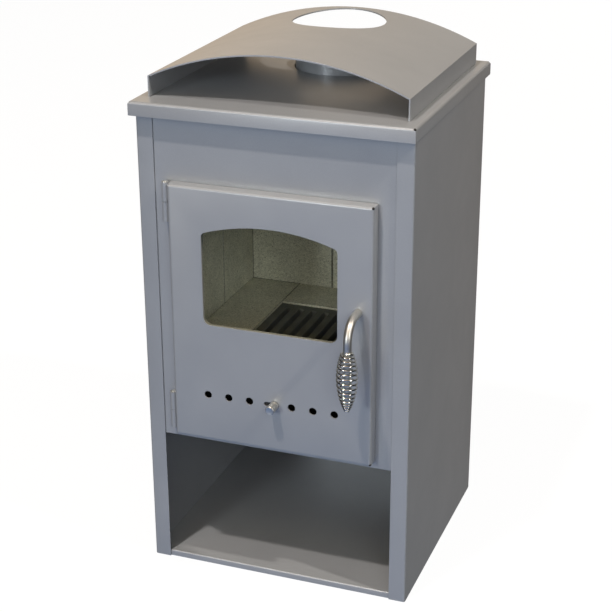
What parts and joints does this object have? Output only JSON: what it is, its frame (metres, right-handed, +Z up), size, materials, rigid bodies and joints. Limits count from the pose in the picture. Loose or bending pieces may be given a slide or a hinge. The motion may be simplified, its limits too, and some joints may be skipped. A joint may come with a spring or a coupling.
{
  "type": "wood burning stove",
  "caption": "Small free-standing sheet-steel wood burning stove: log store below, arched-window door with coil handle and air slide, curved warming cover on top.",
  "frame": {"origin": "centre of the casing's footprint, on the floor, on the underside of the base stiffener", "axes": "+Z up; the door faces -Y; +X is to the right of someone who faces the door"},
  "size_m": [0.4084, 0.4539, 0.789],
  "materials": {
    "grey_paint": "satin heat-resistant paint, cool metallic grey",
    "firebox_steel": "matt dark heat-stained steel",
    "vermiculite": "coarse speckled fire board, beige grey",
    "cast_iron": "sand-cast, sooty",
    "satin_steel": "satin steel",
    "spring_steel": "bright plated spring wire",
    "gasket_fibre": "flat woven glass-fibre tape",
    "rope_fibre": "braided glass-fibre rope",
    "ceramic_glass": "clear ceramic glass"
  },
  "bodies": {
    "stove": {"left_side_panel": "grey_paint", "right_side_panel": "grey_paint", "front_panel": "grey_paint", "back_panel": "grey_paint", "top_plate": "grey_paint", "warming_cover": "grey_paint", "flue_collar": "grey_paint", "store_floor": "grey_paint", "hinge_upper_frame_knuckle": "grey_paint", "hinge_lower_frame_knuckle": "grey_paint", "store_stiffener": "firebox_steel", "store_ceiling": "firebox_steel", "firebox_left_wall": "firebox_steel", "firebox_right_wall": "firebox_steel", "firebox_back_wall": "firebox_steel", "firebox_top": "firebox_steel", "firebox_bottom": "firebox_steel", "hearth_plate": "firebox_steel", "ash_pan": "firebox_steel", "ash_pan_handle": "firebox_steel", "latch_keeper": "firebox_steel", "brick_left_front": "vermiculite", "brick_left_rear": "vermiculite", "brick_right_front": "vermiculite", "brick_right_rear": "vermiculite", "brick_back_left": "vermiculite", "brick_back_right": "vermiculite", "brick_floor_left": "vermiculite", "brick_floor_right": "vermiculite", "brick_floor_rear": "vermiculite", "brick_floor_front": "vermiculite", "smoke_baffle": "vermiculite", "fire_grate": "cast_iron", "hinge_upper_pin": "satin_steel", "hinge_lower_pin": "satin_steel"},
    "door": {"door_skin": "grey_paint", "hinge_upper_door_knuckle": "grey_paint", "hinge_lower_door_knuckle": "grey_paint", "door_liner": "firebox_steel", "glass_retainer_upper": "firebox_steel", "glass_retainer_lower": "firebox_steel", "air_slide_guide_upper": "firebox_steel", "air_slide_guide_lower": "firebox_steel", "door_rope_seal": "rope_fibre", "window_gasket": "gasket_fibre", "window_glass": "ceramic_glass", "glass_screw_upper_left": "satin_steel", "glass_screw_upper_right": "satin_steel", "glass_screw_lower_left": "satin_steel", "glass_screw_lower_right": "satin_steel", "handle_bush": "satin_steel"},
    "handle": {"handle_rod": "satin_steel", "latch_cam": "satin_steel", "latch_nut": "satin_steel", "handle_spring_grip": "spring_steel"},
    "air_slide": {"air_slide_plate": "firebox_steel", "air_knob": "satin_steel", "air_knob_nut": "satin_steel"}
  },
  "joints": [
    {"name": "door_hinge", "type": "hinge", "parent": "stove", "child": "door", "pos_m": [-0.1562, -0.189, 0.415], "axis": [0, 0, -1], "range_deg": [0, 115]},
    {"name": "handle_turn", "type": "hinge", "parent": "door", "child": "handle", "pos_m": [0.13, -0.2, 0.455], "axis": [0, -1, 0], "range_deg": [0, 90]},
    {"name": "air_slide_travel", "type": "slide", "parent": "door", "child": "air_slide", "axis": [-1, 0, 0], "range_m": [0, 0.013]}
  ]
}
